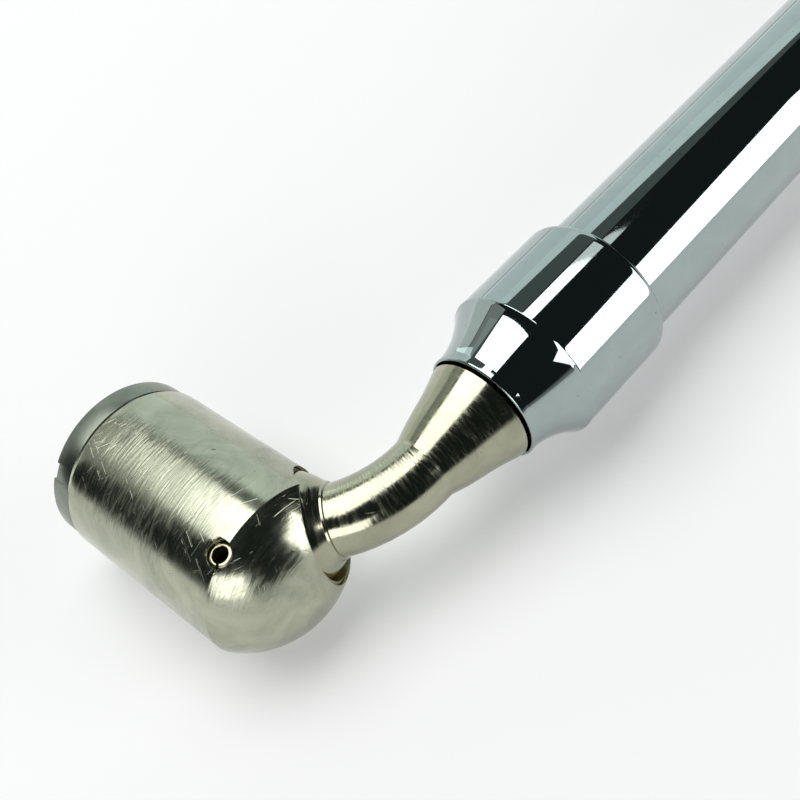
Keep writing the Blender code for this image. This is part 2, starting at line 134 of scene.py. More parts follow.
# Tube, sections, grip and end cap
TUBE_WALL = 0.6
TUBE_ROUNDING = 0.1
SECTION_WALL = 0.45
SECTION_ROUNDING = 0.2
SECTION_PLAY = 0.12
SECTION_LIP = (1.4, 2.0)          # heights where the rolled lip starts and stops opening into the bore
GRIP_NOSE_WALL = 1.1
GRIP_NOSE_ROUND = 0.5
GRIP_TAPER = 10.0
GRIP_RIBS = 22
GRIP_RIB_DEPTH = 0.45
GRIP_RIB_MARGINS = (3.0, 5.0)     # plain rubber before and after the ribs
GRIP_GROOVE = ((0.0, 0.0), (0.12, 0.7), (0.24, 1.0), (0.36, 0.7), (0.48, 0.0))    # shares of pitch and depth
GRIP_REAR_ROUND = 1.6
CAP_PLUG_PLAY = 0.7
CAP_PLUG_CHAMFER = 1.0
CAP_EDGE = 0.2
CAP_LINE = ((3.2, 0.0), (3.0, 0.25), (2.8, 0.0))    # distance below the face and depth of the side's line
CAP_ROUNDING = 1.5
CAP_DISH = ((0.62, 0.0), (0.60, 0.15), (0.57, 0.15), (0.55, 0.0))    # share of the radius and depth

# Stage and camera, in metres; places count from the end of the neck's bend
FLOOR_SIZE = 40.0
COOL_WHITE = (0.90, 1.0, 1.0)
SOFT_GREEN_WHITE = (0.95, 1.0, 0.95)
DIM_GREEN_WHITE = (0.85, 1.0, 0.95)
CEILING_BACK = 1.80
CEILING_DEPTHS = (1.40, 1.10, 0.80, 0.50)
CEILING_RADIANCES = (0.12, 0.10, 0.10, 0.14)
CAMERA_PLACE = (-0.0369, -0.0541, 0.0867)
CAMERA_TARGET = (0.0055, 0.0080, 0.0)
CAMERA_ROLL = math.radians(-17.5)
CAMERA_LENS = 49.2                # focal length in millimetres, for a 36 mm sensor

TUBE_DIR = Vector((1, 0, 0))


# ---------------------------------------------------------------- places read from the frame

def joint(name):
    return next(entry for entry in frame["joints"] if entry["name"] == name)


def mount(name):
    return next(entry for entry in frame["record"]["mounts"] if entry["name"] == name)


def axis_matrix(origin, along, beside):
    """Frame at origin with Z along the axis and Y as near as it can be to beside."""
    z_dir = Vector(along).normalized()
    x_dir = Vector(beside).cross(z_dir).normalized()
    turn = Matrix((x_dir, z_dir.cross(x_dir), z_dir)).transposed().to_4x4()
    return Matrix.Translation(Vector(origin)) @ turn


BEND_END = Vector(joint("neck_spin")["pos_m"])
DOME_CENTRE = Vector(joint("head_swivel")["pos_m"])
SWIVEL_DIR = Vector(joint("head_swivel")["axis"]).normalized()
HEAD_DIR = Vector(mount("magnet_face")["axis"]).normalized()
PIN_DIR = SWIVEL_DIR.cross(HEAD_DIR).normalized()
# The rod is bent about the hinge direction; the inward one points from the rod to the bend's centre
HINGE_DIR = SWIVEL_DIR.cross(TUBE_DIR).normalized()
INWARD_DIR = (TUBE_DIR - SWIVEL_DIR * TUBE_DIR.dot(SWIVEL_DIR)).normalized()
BEND_START = BEND_END - (TUBE_DIR + SWIVEL_DIR) * BEND_REACH * MM
BEND_CENTRE = BEND_START + INWARD_DIR * BEND_RADIUS * MM
TUBE_AXIS = axis_matrix(BEND_END, TUBE_DIR, (0, 0, 1))
SWIVEL_AXIS = axis_matrix(DOME_CENTRE, SWIVEL_DIR, PIN_DIR)
HEAD_AXIS = axis_matrix(DOME_CENTRE, HEAD_DIR, PIN_DIR)


def pin_axis():
    """Axis of the cross pin, through the middle of its CAD node."""
    centre = Vector((0, 0, 0))
    for side in (PIN_DIR, HEAD_DIR, HEAD_DIR.cross(PIN_DIR)):
        reaches = [vertex.co.dot(side) for vertex in frame["nodes"]["roll_pin"].data.vertices]
        centre += side * (min(reaches) + max(reaches)) / 2
    return axis_matrix(centre, PIN_DIR, HEAD_DIR)


PIN_AXIS = pin_axis()


def measured(node, axis):
    """Lowest height, highest height and largest radius of a CAD node about an axis."""
    inverse = axis.inverted()
    points = [inverse @ vertex.co / MM for vertex in frame["nodes"][node].data.vertices]
    heights = [point.z for point in points]
    return min(heights), max(heights), max(point.xy.length for point in points)


# ---------------------------------------------------------------- modelling by operators

def select_only(piece):
    bpy.ops.object.select_all(action="DESELECT")
    piece.select_set(True)
    bpy.context.view_layer.objects.active = piece


def turned(name, profile, axis, steps=ROUND, closed=False):
    """Draws a profile vertex by vertex, spins it, and places it on an axis; closed joins its ends."""
    points = [Vector((radius, 0, height)) * MM for radius, height in profile]
    if closed:
        points.append(points[0])
    bpy.ops.object.select_all(action="DESELECT")
    bpy.ops.mesh.primitive_plane_add(size=MM)
    piece = bpy.context.object
    piece.name = name
    bpy.ops.object.mode_set(mode="EDIT")
    bpy.context.tool_settings.mesh_select_mode = (True, False, False)
    bpy.ops.mesh.select_all(action="SELECT")
    bpy.ops.mesh.merge(type="CENTER")
    bpy.ops.transform.translate(value=points[0])
    for before, after in zip(points[:-1], points[1:]):
        bpy.ops.mesh.extrude_vertices_move(TRANSFORM_OT_translate={"value": after - before})
    bpy.ops.mesh.select_all(action="SELECT")
    bpy.ops.mesh.remove_doubles(threshold=MM * 0.001)
    bpy.ops.mesh.spin(steps=steps, angle=math.tau, center=(0, 0, 0), axis=(0, 0, 1))
    clean_mesh()
    place(piece, axis)
    return piece


def clean_mesh():
    """Merges doubles and turns the faces outwards, then leaves edit mode."""
    bpy.ops.mesh.select_all(action="SELECT")
    bpy.ops.mesh.remove_doubles(threshold=MM * 0.001)
    bpy.ops.mesh.normals_make_consistent(inside=False)
    bpy.ops.object.mode_set(mode="OBJECT")


def place(piece, matrix):
    """Moves the mesh, not the object, so that the object stays at the origin."""
    piece.matrix_world = matrix
    select_only(piece)
    bpy.ops.object.transform_apply(location=True, rotation=True, scale=True)


def box(name, size, centre, axis, turn):
    """Block of a size, centred in an axis frame and turned about the axis."""
    bpy.ops.object.select_all(action="DESELECT")
    bpy.ops.mesh.primitive_cube_add(size=MM)
    piece = bpy.context.object
    piece.name = name
    piece.scale = size
    bpy.ops.object.transform_apply(location=False, rotation=False, scale=True)
    place(piece, axis @ Matrix.Rotation(turn, 4, "Z") @ Matrix.Translation(Vector(centre) * MM))
    return piece


def apply_modifier(piece, modifier):
    select_only(piece)
    bpy.ops.object.modifier_apply(modifier=modifier.name)


def cut(piece, cutter, operation="DIFFERENCE"):
    """Cuts a piece and throws the cutter away; INTERSECT keeps what is inside the cutter."""
    modifier = piece.modifiers.new("cut", "BOOLEAN")
    modifier.operation = operation
    modifier.solver = "EXACT"
    modifier.object = cutter
    apply_modifier(piece, modifier)
    bpy.data.objects.remove(cutter, do_unlink=True)


def soften_edges(piece, width):
    """Breaks the sharp edges, as a light deburring does."""
    modifier = piece.modifiers.new("deburr", "BEVEL")
    modifier.width = width * MM
    modifier.segments = 2
    modifier.limit_method = "ANGLE"
    modifier.angle_limit = math.radians(40)
    modifier.use_clamp_overlap = True
    apply_modifier(piece, modifier)


def about(axis):
    """Function that gives a point's place about an axis."""
    inverse = axis.inverted()
    return lambda point: inverse @ point


def mark_turning(piece, to_turned):
    """Stores each point's place about its turning axis for the materials, in millimetres."""
    attribute = piece.data.attributes.new("turned", "FLOAT_VECTOR", "POINT")
    places = []
    for vertex in piece.data.vertices:
        places.extend(to_turned(vertex.co) / MM)
    attribute.data.foreach_set("vector", places)


def finish_piece(piece, to_turned, body, material, node, sharp=30):
    """Smooths, marks and paints a piece, hangs it on its body and hides the CAD node it stands for."""
    select_only(piece)
    bpy.ops.object.shade_smooth_by_angle(angle=math.radians(sharp))
    mark_turning(piece, to_turned)
    piece.data.materials.clear()
    piece.data.materials.append(material)
    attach(piece, body)
    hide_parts(node)


def arc(centre, radius, start, end, steps):
    """Points on an arc in the (radius, height) plane, angles in degrees from the radius axis."""
    turns = [math.radians(start + (end - start) * step / steps) for step in range(steps + 1)]
    return [(centre[0] + radius * math.cos(turn), centre[1] + radius * math.sin(turn)) for turn in turns]


def flare(start, end, steps, shape):
    """Points from one profile point to another; the radius follows shape(share) as the height runs evenly."""
    points = []
    for step in range(steps + 1):
        share = step / steps
        points.append((start[0] + (end[0] - start[0]) * shape(share), start[1] + (end[1] - start[1]) * share))
    return points


def evenly(share):
    return share


def ring_profile(inner, outer, start, end, rounding):
    """Closed profile of a tube with rounded outer edges and a ring beside each, so that it shades straight."""
    beside = 1.3 * rounding
    profile = [(inner, start), (inner, end)]
    profile += reversed(arc((outer - rounding, end - rounding), rounding, 0, 90, 4))
    profile += [(outer, end - beside), (outer, start + beside)]
    profile += reversed(arc((outer - rounding, start + rounding), rounding, -90, 0, 4))
    return profile


def head_outline(dome, barrel):
    """Points of the head's dome, from its pole to the start of its barrel, for two radii."""
    crease = math.degrees(math.atan2(-math.sqrt(dome ** 2 - barrel ** 2), barrel))
    return [(0, -dome)] + arc((0, 0), dome, -90, crease, DOME_STEPS)[1:]


# ---------------------------------------------------------------- node helpers

class Nodes:
    """Thin wrapper that adds and links shader nodes of one tree."""

    def __init__(self, tree):
        self.tree = tree

    def add(self, kind, **values):
        node = self.tree.nodes.new(kind)
        for name, value in values.items():
            setattr(node, name, value)
        return node

    def link(self, source, target):
        self.tree.links.new(source, target)

    def put(self, target, value):
        if isinstance(value, bpy.types.NodeSocket):
            self.link(value, target)
        else:
            target.default_value = value

    def maths(self, operation, first, second=0.5):
        node = self.add("ShaderNodeMath", operation=operation)
        self.put(node.inputs[0], first)
        self.put(node.inputs[1], second)
        return node.outputs[0]

    def stretched(self, vector, scale):
        node = self.add("ShaderNodeVectorMath", operation="MULTIPLY")
        self.put(node.inputs[0], vector)
        node.inputs[1].default_value = scale
        return node.outputs[0]

    def turned_round(self, vector, angles):
        node = self.add("ShaderNodeMapping", vector_type="POINT")
        self.put(node.inputs["Vector"], vector)
        node.inputs["Rotation"].default_value = angles
        return node.outputs[0]

    def noise(self, vector, scale, detail=3.0, roughness=0.5, distortion=0.0):
        node = self.add("ShaderNodeTexNoise")
        self.put(node.inputs["Vector"], vector)
        node.inputs["Scale"].default_value = scale
        node.inputs["Detail"].default_value = detail
        node.inputs["Roughness"].default_value = roughness
        node.inputs["Distortion"].default_value = distortion
        return node.outputs[0]

    def remap(self, value, low, high, new_low=0.0, new_high=1.0):
        """Moves a value from one range to another and holds it there."""
        node = self.add("ShaderNodeMapRange")
        node.clamp = True
        self.put(node.inputs["Value"], value)
        node.inputs["From Min"].default_value = low
        node.inputs["From Max"].default_value = high
        self.put(node.inputs["To Min"], new_low)
        self.put(node.inputs["To Max"], new_high)
        return node.outputs[0]

    def mix_colour(self, share, first, second):
        node = self.add("ShaderNodeMix", data_type="RGBA")
        self.put(node.inputs[0], share)
        self.put(node.inputs[6], first)
        self.put(node.inputs[7], second)
        return node.outputs[2]

    def bump(self, height, distance):
        node = self.add("ShaderNodeBump")
        self.put(node.inputs["Height"], height)
        node.inputs["Distance"].default_value = distance
        node.inputs["Strength"].default_value = 1.0
        return node.outputs[0]


def new_group(name, outputs):
    """Node group that takes a place and puts out named values; returns it with its inner ends."""
    tree = bpy.data.node_groups.new(name, "ShaderNodeTree")
    tree.interface.new_socket(name="Place", in_out="INPUT", socket_type="NodeSocketVector")
    for socket in outputs:
        tree.interface.new_socket(name=socket, in_out="OUTPUT", socket_type="NodeSocketFloat")
    nodes = Nodes(tree)
    entry = nodes.add("NodeGroupInput")
    leave = nodes.add("NodeGroupOutput")
    return tree, nodes, entry.outputs["Place"], leave


def lathe_lines_group():
    """Fine tool marks that run around the axis: close lines in patches, and single deeper lines."""
    tree, nodes, place_in, leave = new_group("lathe_lines", ["Height", "Streaks"])
    fine = nodes.noise(nodes.stretched(place_in, (0.10, 0.10, 3.6)), 1.0, 3.0, 0.6)
    slow = nodes.noise(nodes.stretched(place_in, (0.05, 0.05, 0.9)), 1.0, 1.0, 0.5)
    short = nodes.noise(nodes.stretched(place_in, (0.55, 0.55, 4.5)), 1.0, 1.0, 0.5)
    patches = nodes.remap(nodes.noise(place_in, 0.15, 2.0), 0.40, 0.60, 0.25, 1.0)
    close = nodes.maths("ADD", fine, nodes.maths("MULTIPLY", short, 0.6))
    ridges = nodes.maths("ADD", nodes.maths("MULTIPLY", close, patches), nodes.maths("MULTIPLY", slow, 0.5))
    streaks = nodes.maths("MULTIPLY", nodes.remap(short, 0.45, 0.68), patches)
    nodes.link(ridges, leave.inputs["Height"])
    nodes.link(streaks, leave.inputs["Streaks"])
    return tree


def scratches_group():
    """Straight thin scratches at a few slants, each broken into short lengths."""
    tree, nodes, place_in, leave = new_group("scratches", ["Mask"])
    slants = [(0.25, 0.1, 0.0), (-0.2, 0.5, 0.0), (1.0, 0.4, 0.0), (0.9, -0.9, 0.0)]
    total = None
    for number, angles in enumerate(slants):
        slanted = nodes.turned_round(place_in, angles)
        sheet = nodes.noise(nodes.stretched(slanted, (0.09, 0.09, 5.0 + number)), 1.0, 0.0)
        line = nodes.remap(sheet, 0.73, 0.78)
        length = nodes.remap(nodes.noise(slanted, 0.45 + 0.1 * number, 1.0), 0.52, 0.60)
        drawn = nodes.maths("MULTIPLY", line, length)
        total = drawn if total is None else nodes.maths("MAXIMUM", total, drawn)
    nodes.link(total, leave.inputs["Mask"])
    return tree


def handling_group():
    """Cloudy change of shine from fingers and cleaning, with small dark specks."""
    tree, nodes, place_in, leave = new_group("handling", ["Clouds", "Specks"])
    clouds = nodes.noise(place_in, 0.16, 4.0, 0.6, 0.8)
    specks = nodes.noise(place_in, 2.1, 2.0, 0.4)
    nodes.link(nodes.remap(clouds, 0.35, 0.65), leave.inputs["Clouds"])
    nodes.link(nodes.remap(specks, 0.76, 0.80), leave.inputs["Specks"])
    return tree


LATHE_LINES = lathe_lines_group()
SCRATCHES = scratches_group()
HANDLING = handling_group()


def start_material(name, metallic, specular=0.5):
    """New material with its node helper and its Principled shader."""
    material = bpy.data.materials.new(name)
    material.use_nodes = True
    nodes = Nodes(material.node_tree)
    shader = material.node_tree.nodes["Principled BSDF"]
    shader.inputs["Metallic"].default_value = metallic
    shader.inputs["Specular IOR Level"].default_value = specular
    return material, nodes, shader


def grouped(nodes, tree, place_in):
    """Places a node group in a material and feeds it a place."""
    node = nodes.add("ShaderNodeGroup", node_tree=tree)
    nodes.link(place_in, node.inputs[0])
    return node


def object_place(nodes):
    """Object coordinates in millimetres."""
    return nodes.stretched(nodes.add("ShaderNodeTexCoord").outputs["Object"], (1000, 1000, 1000))


def darker(colour, share):
    return tuple(share * part for part in colour)


def turned_metal(name, colour, dull_colour, roughness, line_depth, scratch_depth, streak_dulling):
    """Turned and plated metal; roughness is (polished, dull), depths are in millimetres, and
    streak_dulling is what the roughness gains in the short marks of the tool."""
    material, nodes, shader = start_material(name, 1.0)
    place_in = nodes.add("ShaderNodeAttribute", attribute_name="turned").outputs["Vector"]
    lines = grouped(nodes, LATHE_LINES, place_in)
    scratches = grouped(nodes, SCRATCHES, place_in)
    handling = grouped(nodes, HANDLING, place_in)
    tone = nodes.mix_colour(handling.outputs["Clouds"], (*colour, 1), (*dull_colour, 1))
    specked = nodes.mix_colour(handling.outputs["Specks"], tone, (*darker(dull_colour, 0.35), 1))
    nodes.link(specked, shader.inputs["Base Color"])
    dulled = nodes.remap(handling.outputs["Clouds"], 0.0, 1.0, *roughness)
    streaked = nodes.maths("ADD", dulled, nodes.maths("MULTIPLY", lines.outputs["Streaks"], streak_dulling))
    nodes.link(streaked, shader.inputs["Roughness"])
    ridges = nodes.maths("MULTIPLY", lines.outputs["Height"], line_depth)
    furrows = nodes.maths("MULTIPLY", scratches.outputs["Mask"], scratch_depth)
    nodes.link(nodes.bump(nodes.maths("SUBTRACT", ridges, furrows), MM), shader.inputs["Normal"])
    return material


def cloud_between(nodes, shader, place_in, colours, roughness):
    """Lets handling clouds mix two colours and dull the shine of a plain material."""
    clouds = grouped(nodes, HANDLING, place_in).outputs["Clouds"]
    nodes.link(nodes.mix_colour(clouds, (*colours[0], 1), (*colours[1], 1)), shader.inputs["Base Color"])
    nodes.link(nodes.remap(clouds, 0.0, 1.0, roughness, roughness + 0.15), shader.inputs["Roughness"])


def plain_metal(name, colour, roughness):
    """Metal of the small inner pieces, with cloudy tone and faint grain."""
    material, nodes, shader = start_material(name, 1.0)
    place_in = object_place(nodes)
    cloud_between(nodes, shader, place_in, (colour, darker(colour, 0.7)), roughness)
    nodes.link(nodes.bump(nodes.noise(place_in, 6.0), 0.01 * MM), shader.inputs["Normal"])
    return material


def moulded(name, colour, worn_colour, roughness, grain):
    """Rubber or plastic with a fine moulded grain of a depth in millimetres, cloudy where hands rub it."""
    material, nodes, shader = start_material(name, 0.0, 0.4)
    place_in = object_place(nodes)
    cloud_between(nodes, shader, place_in, (colour, worn_colour), roughness)
    nodes.link(nodes.bump(nodes.noise(place_in, 3.5, 4.0, 0.6), grain * MM), shader.inputs["Normal"])
    return material


NICKEL = turned_metal("satin_nickel", (0.45, 0.46, 0.355), (0.32, 0.335, 0.255), (0.13, 0.22),
                      line_depth=0.016, scratch_depth=0.009, streak_dulling=0.14)
NECK_NICKEL = turned_metal("turned_nickel", (0.40, 0.40, 0.30), (0.31, 0.315, 0.23), (0.10, 0.17),
                           line_depth=0.020, scratch_depth=0.003, streak_dulling=0.18)
CUP_STEEL = turned_metal("ground_steel", (0.24, 0.265, 0.215), (0.17, 0.19, 0.155), (0.24, 0.34),
                         line_depth=0.008, scratch_depth=0.002, streak_dulling=0.08)
CHROME = turned_metal("polished_chrome", (0.37, 0.43, 0.42), (0.34, 0.40, 0.39), (0.02, 0.04),
                      line_depth=0.0007, scratch_depth=0.0003, streak_dulling=0.02)
PIN_STEEL = turned_metal("pin_steel", (0.50, 0.47, 0.32), (0.36, 0.33, 0.22), (0.18, 0.30),
                         line_depth=0.002, scratch_depth=0.001, streak_dulling=0.05)
BRONZE = turned_metal("bush_bronze", (0.48, 0.42, 0.24), (0.30, 0.26, 0.15), (0.30, 0.42),
                      line_depth=0.002, scratch_depth=0.001, streak_dulling=0.05)
BRASS = plain_metal("brass_sleeve", (0.72, 0.56, 0.26), 0.28)
MAGNET = plain_metal("plated_magnet", (0.50, 0.51, 0.52), 0.30)
INNER_STEEL = plain_metal("inner_steel", (0.55, 0.56, 0.55), 0.32)
NYLON = moulded("natural_nylon", (0.78, 0.76, 0.68), (0.70, 0.68, 0.60), 0.45, 0.02)
RUBBER = moulded("grip_rubber", (0.018, 0.018, 0.019), (0.035, 0.035, 0.036), 0.50, 0.05)


# ---------------------------------------------------------------- head

def cylinder(name, radius, low, high, axis, steps=ROUND):
    return turned(name, [(0, low), (radius, low), (radius, high), (0, high)], axis, steps)


def make_head_shell():
    """Domed barrel with a bore for the magnet's cup, a slanted mouth for the swivel and a pin hole."""
    seam = measured("head_shell", HEAD_AXIS)[1]
    profile = head_outline(DOME_RADIUS, HEAD_RADIUS)
    barrel_end = (HEAD_RADIUS, seam - SHELL_CHAMFER)
    profile += flare((HEAD_RADIUS, -DOME_EDGE), barrel_end, BARREL_ROWS, evenly)[1:-1]
    profile += arc((HEAD_RADIUS - SHELL_CHAMFER, seam - SHELL_CHAMFER), SHELL_CHAMFER, 0, 90, 5)
    cup_seat = seam - CUP_BORE_DEPTH
    profile += [(CUP_BORE_RADIUS, seam), (CUP_BORE_RADIUS, cup_seat), (0, cup_seat)]
    shell = turned("head_shell_fine", profile, HEAD_AXIS)
    cut(shell, cylinder("mouth_cutter", MOUTH_RADIUS, MOUTH_FLOOR, 2 * DOME_RADIUS, SWIVEL_AXIS))
    reach = 2 * HEAD_RADIUS
    cut(shell, cylinder("pin_hole_cutter", PIN_RADIUS + FIT, -reach, reach, PIN_AXIS, PIN_ROUND))
    soften_edges(shell, SHELL_DEBURR)
    finish_piece(shell, about(HEAD_AXIS), "head_body", NICKEL, "head_shell", sharp=25)


def make_magnet_cup():
    """Steel cup that closes the head, with an assembly notch at each side of its rim."""
    low, high, radius = measured("magnet_cup", HEAD_AXIS)
    seat = measured("head_shell", HEAD_AXIS)[1] + FIT
    body = CUP_BORE_RADIUS - FIT
    floor = low + CUP_FLOOR
    profile = [(0, low), (body, low), (body, seat), (radius - CUP_EDGE, seat), (radius, seat + CUP_EDGE)]
    profile += arc((radius - CUP_EDGE, high - CUP_EDGE), CUP_EDGE, 0, 90, 4)
    profile += [(CUP_INNER_RADIUS, high), (CUP_INNER_RADIUS, floor), (0, floor)]
    cup = turned("magnet_cup_fine", profile, HEAD_AXIS)
    notch_bar = (3 * HEAD_RADIUS, NOTCH_WIDTH, 2 * NOTCH_DEPTH)
    cut(cup, box("notch_cutter", notch_bar, (0, 0, high), HEAD_AXIS, NOTCH_TURN))
    soften_edges(cup, CUP_DEBURR)
    finish_piece(cup, about(HEAD_AXIS), "head_body", CUP_STEEL, "magnet_cup")


def make_pole_plate():
    """Disc on the magnet's face, with one turned line."""
    low, high, radius = measured("pole_plate", HEAD_AXIS)
    profile = [(0, low), (radius, low)] + arc((radius - PLATE_EDGE, high - PLATE_EDGE), PLATE_EDGE, 0, 90, 3)
    profile += [(share * radius, high - depth) for share, depth in PLATE_LINE] + [(0, high)]
    plate = turned("pole_plate_fine", profile, HEAD_AXIS)
    finish_piece(plate, about(HEAD_AXIS), "head_body", CUP_STEEL, "pole_plate")


def make_spacer_ring():
    low, high, radius = measured("spacer_ring", HEAD_AXIS)
    bore = measured("pole_plate", HEAD_AXIS)[2] + FIT
    profile = ring_profile(bore, radius, low, high, SPACER_ROUNDING)
    ring = turned("spacer_ring_fine", profile, HEAD_AXIS, closed=True)
    finish_piece(ring, about(HEAD_AXIS), "head_body", BRONZE, "spacer_ring")


def make_roll_pin():
    """Slotted spring pin with rounded ends."""
    low, high, _ = measured("roll_pin", PIN_AXIS)
    end = [(PIN_BORE, PIN_BORE_EDGE), (PIN_BORE + PIN_BORE_EDGE, 0), (PIN_RADIUS - PIN_CHAMFER, 0),
           (PIN_RADIUS - PIN_BULGE, 0.25 * PIN_CHAMFER), (PIN_RADIUS, PIN_CHAMFER)]
    profile = [(across, high - depth) for across, depth in end]
    profile += [(across, low + depth) for across, depth in reversed(end)]
    pin = turned("roll_pin_fine", profile, PIN_AXIS, PIN_ROUND, closed=True)
    slit = (2 * PIN_RADIUS, PIN_SLIT, 3 * high)
    cut(pin, box("slit_cutter", slit, (PIN_RADIUS, 0, 0), PIN_AXIS, PIN_SLIT_TURN))
    soften_edges(pin, PIN_DEBURR)
    finish_piece(pin, about(PIN_AXIS), "head_body", PIN_STEEL, "roll_pin")


def make_swivel_bush():
    """Bronze ring round the spigot, trimmed a little below the head's surface all round the mouth."""
    low, _, radius = measured("swivel_bush", SWIVEL_AXIS)
    bore = SPIGOT_RADIUS + BUSH_PLAY
    profile = [(bore, low), (bore, BUSH_TOP), (radius, BUSH_TOP), (radius, low)]
    bush = turned("swivel_bush_fine", profile, SWIVEL_AXIS, closed=True)
    barrel = HEAD_RADIUS - BUSH_SINK
    outline = head_outline(DOME_RADIUS - BUSH_SINK, barrel) + [(barrel, HEAD_RADIUS), (0, HEAD_RADIUS)]
    cut(bush, turned("outline_cutter", outline, HEAD_AXIS), "INTERSECT")
    finish_piece(bush, about(SWIVEL_AXIS), "head_body", BRONZE, "swivel_bush")


# ---------------------------------------------------------------- neck

def spigot_profile():
    """(radius, height) points of the spigot, from its foot up to the rod."""
    low, high = GROOVE_SPAN
    profile = [(SPIGOT_RADIUS - SPIGOT_EDGE, SPIGOT_FOOT), (SPIGOT_RADIUS, SPIGOT_FOOT + SPIGOT_EDGE),
               (SPIGOT_RADIUS, low), (GROOVE_FLOOR, low), (GROOVE_FLOOR, high), (SPIGOT_RADIUS, high)]
    profile += arc((SPIGOT_RADIUS - SPIGOT_EDGE, SPIGOT_SHOULDER - SPIGOT_EDGE), SPIGOT_EDGE, 0, 50, 5)
    fillet = [(ROD_RADIUS + out, ROD_BASE - below) for out, below in ROD_FILLET]
    steps = 8
    cap = flare(profile[-1], fillet[0], steps, evenly)
    for step in range(1, steps + 1):
        radius, height = cap[step]
        profile.append((radius + SPIGOT_CAP_BULGE * math.sin(math.pi * step / steps), height))
    return profile + fillet[1:]


def cone_profile():
    """(radius, height) points from the end of the bend to the boss in the ferrule and its stud hole."""
    inside, before = CONE_RIM
    profile = flare((ROD_RADIUS, CONE_START), (CONE_RADIUS - inside, CONE_END - before), 14,
                    lambda share: share + CONE_SWELL * math.sin(math.tau * share))
    profile += arc((CONE_RADIUS - CONE_LIP, CONE_END - CONE_LIP), CONE_LIP, 20, 90, 5)
    profile += [(BOSS_RADIUS, CONE_END), (BOSS_RADIUS, BOSS_END), (STUD_HOLE_RADIUS, BOSS_END),
                (STUD_HOLE_RADIUS, STUD_HOLE_END)]
    return profile


def grow_along(profile, origin, direction):
    """Extrudes the selected ring of edges, which is at a profile's first point, through its other points."""
    for before, after in zip(profile[:-1], profile[1:]):
        step = direction * (after[1] - before[1]) * MM
        bpy.ops.mesh.extrude_edges_move(TRANSFORM_OT_translate={"value": step})
        factor = after[0] / before[0]
        bpy.ops.transform.resize(value=(factor, factor, factor),
                                 center_override=origin + direction * after[1] * MM)


def make_neck():
    """Spigot, bent rod and cone: a ring of edges grown along the swivel, spun round the bend, then
    grown along the tube."""
    profile = spigot_profile()
    foot_radius, foot_height = profile[0]
    bpy.ops.object.select_all(action="DESELECT")
    bpy.ops.mesh.primitive_circle_add(vertices=ROUND, radius=foot_radius * MM, fill_type="NOTHING")
    neck = bpy.context.object
    neck.name = "swivel_neck_fine"
    place(neck, axis_matrix(DOME_CENTRE + SWIVEL_DIR * foot_height * MM, SWIVEL_DIR, HINGE_DIR))
    bpy.ops.object.mode_set(mode="EDIT")
    bpy.context.tool_settings.mesh_select_mode = (False, True, False)
    bpy.ops.mesh.select_all(action="SELECT")
    grow_along(profile, DOME_CENTRE, SWIVEL_DIR)
    bpy.ops.mesh.spin(steps=BEND_STEPS, angle=-BEND_TURN, center=BEND_CENTRE, axis=HINGE_DIR)
    grow_along([(ROD_RADIUS, 0.0)] + cone_profile(), BEND_END, TUBE_DIR)
    bpy.ops.mesh.select_all(action="DESELECT")
    bpy.ops.mesh.select_non_manifold(extend=False, use_wire=False, use_boundary=True, use_multi_face=False,
                                     use_non_contiguous=False, use_verts=False)
    bpy.ops.mesh.edge_face_add()
    clean_mesh()
    finish_piece(neck, straightened, "neck_body", NECK_NICKEL, "swivel_neck")


def straightened(point):
    """A point of the neck as if its bend were straight, counted from the dome's centre."""
    from_centre = point - BEND_CENTRE
    turn = math.atan2(from_centre.dot(SWIVEL_DIR), -from_centre.dot(INWARD_DIR))
    if turn <= 0:
        offset = point - DOME_CENTRE
        return Vector((offset.dot(HINGE_DIR), offset.dot(INWARD_DIR), offset.dot(SWIVEL_DIR)))
    if turn < BEND_TURN:
        radial = INWARD_DIR * math.cos(turn) - SWIVEL_DIR * math.sin(turn)
        across = BEND_RADIUS * MM + from_centre.dot(radial)
        return Vector((from_centre.dot(HINGE_DIR), across, (ROD_BASE + BEND_RADIUS * turn) * MM))
    offset = point - BEND_END
    radial = INWARD_DIR * math.cos(BEND_TURN) - SWIVEL_DIR * math.sin(BEND_TURN)
    along = offset.dot(TUBE_DIR) + (ROD_BASE + BEND_RADIUS * BEND_TURN) * MM
    return Vector((offset.dot(HINGE_DIR), offset.dot(radial), along))


# ---------------------------------------------------------------- casing and sections

def flare_shape(share):
    return FLARE_STRAIGHT * share + (1 - FLARE_STRAIGHT) * share ** FLARE_POWER


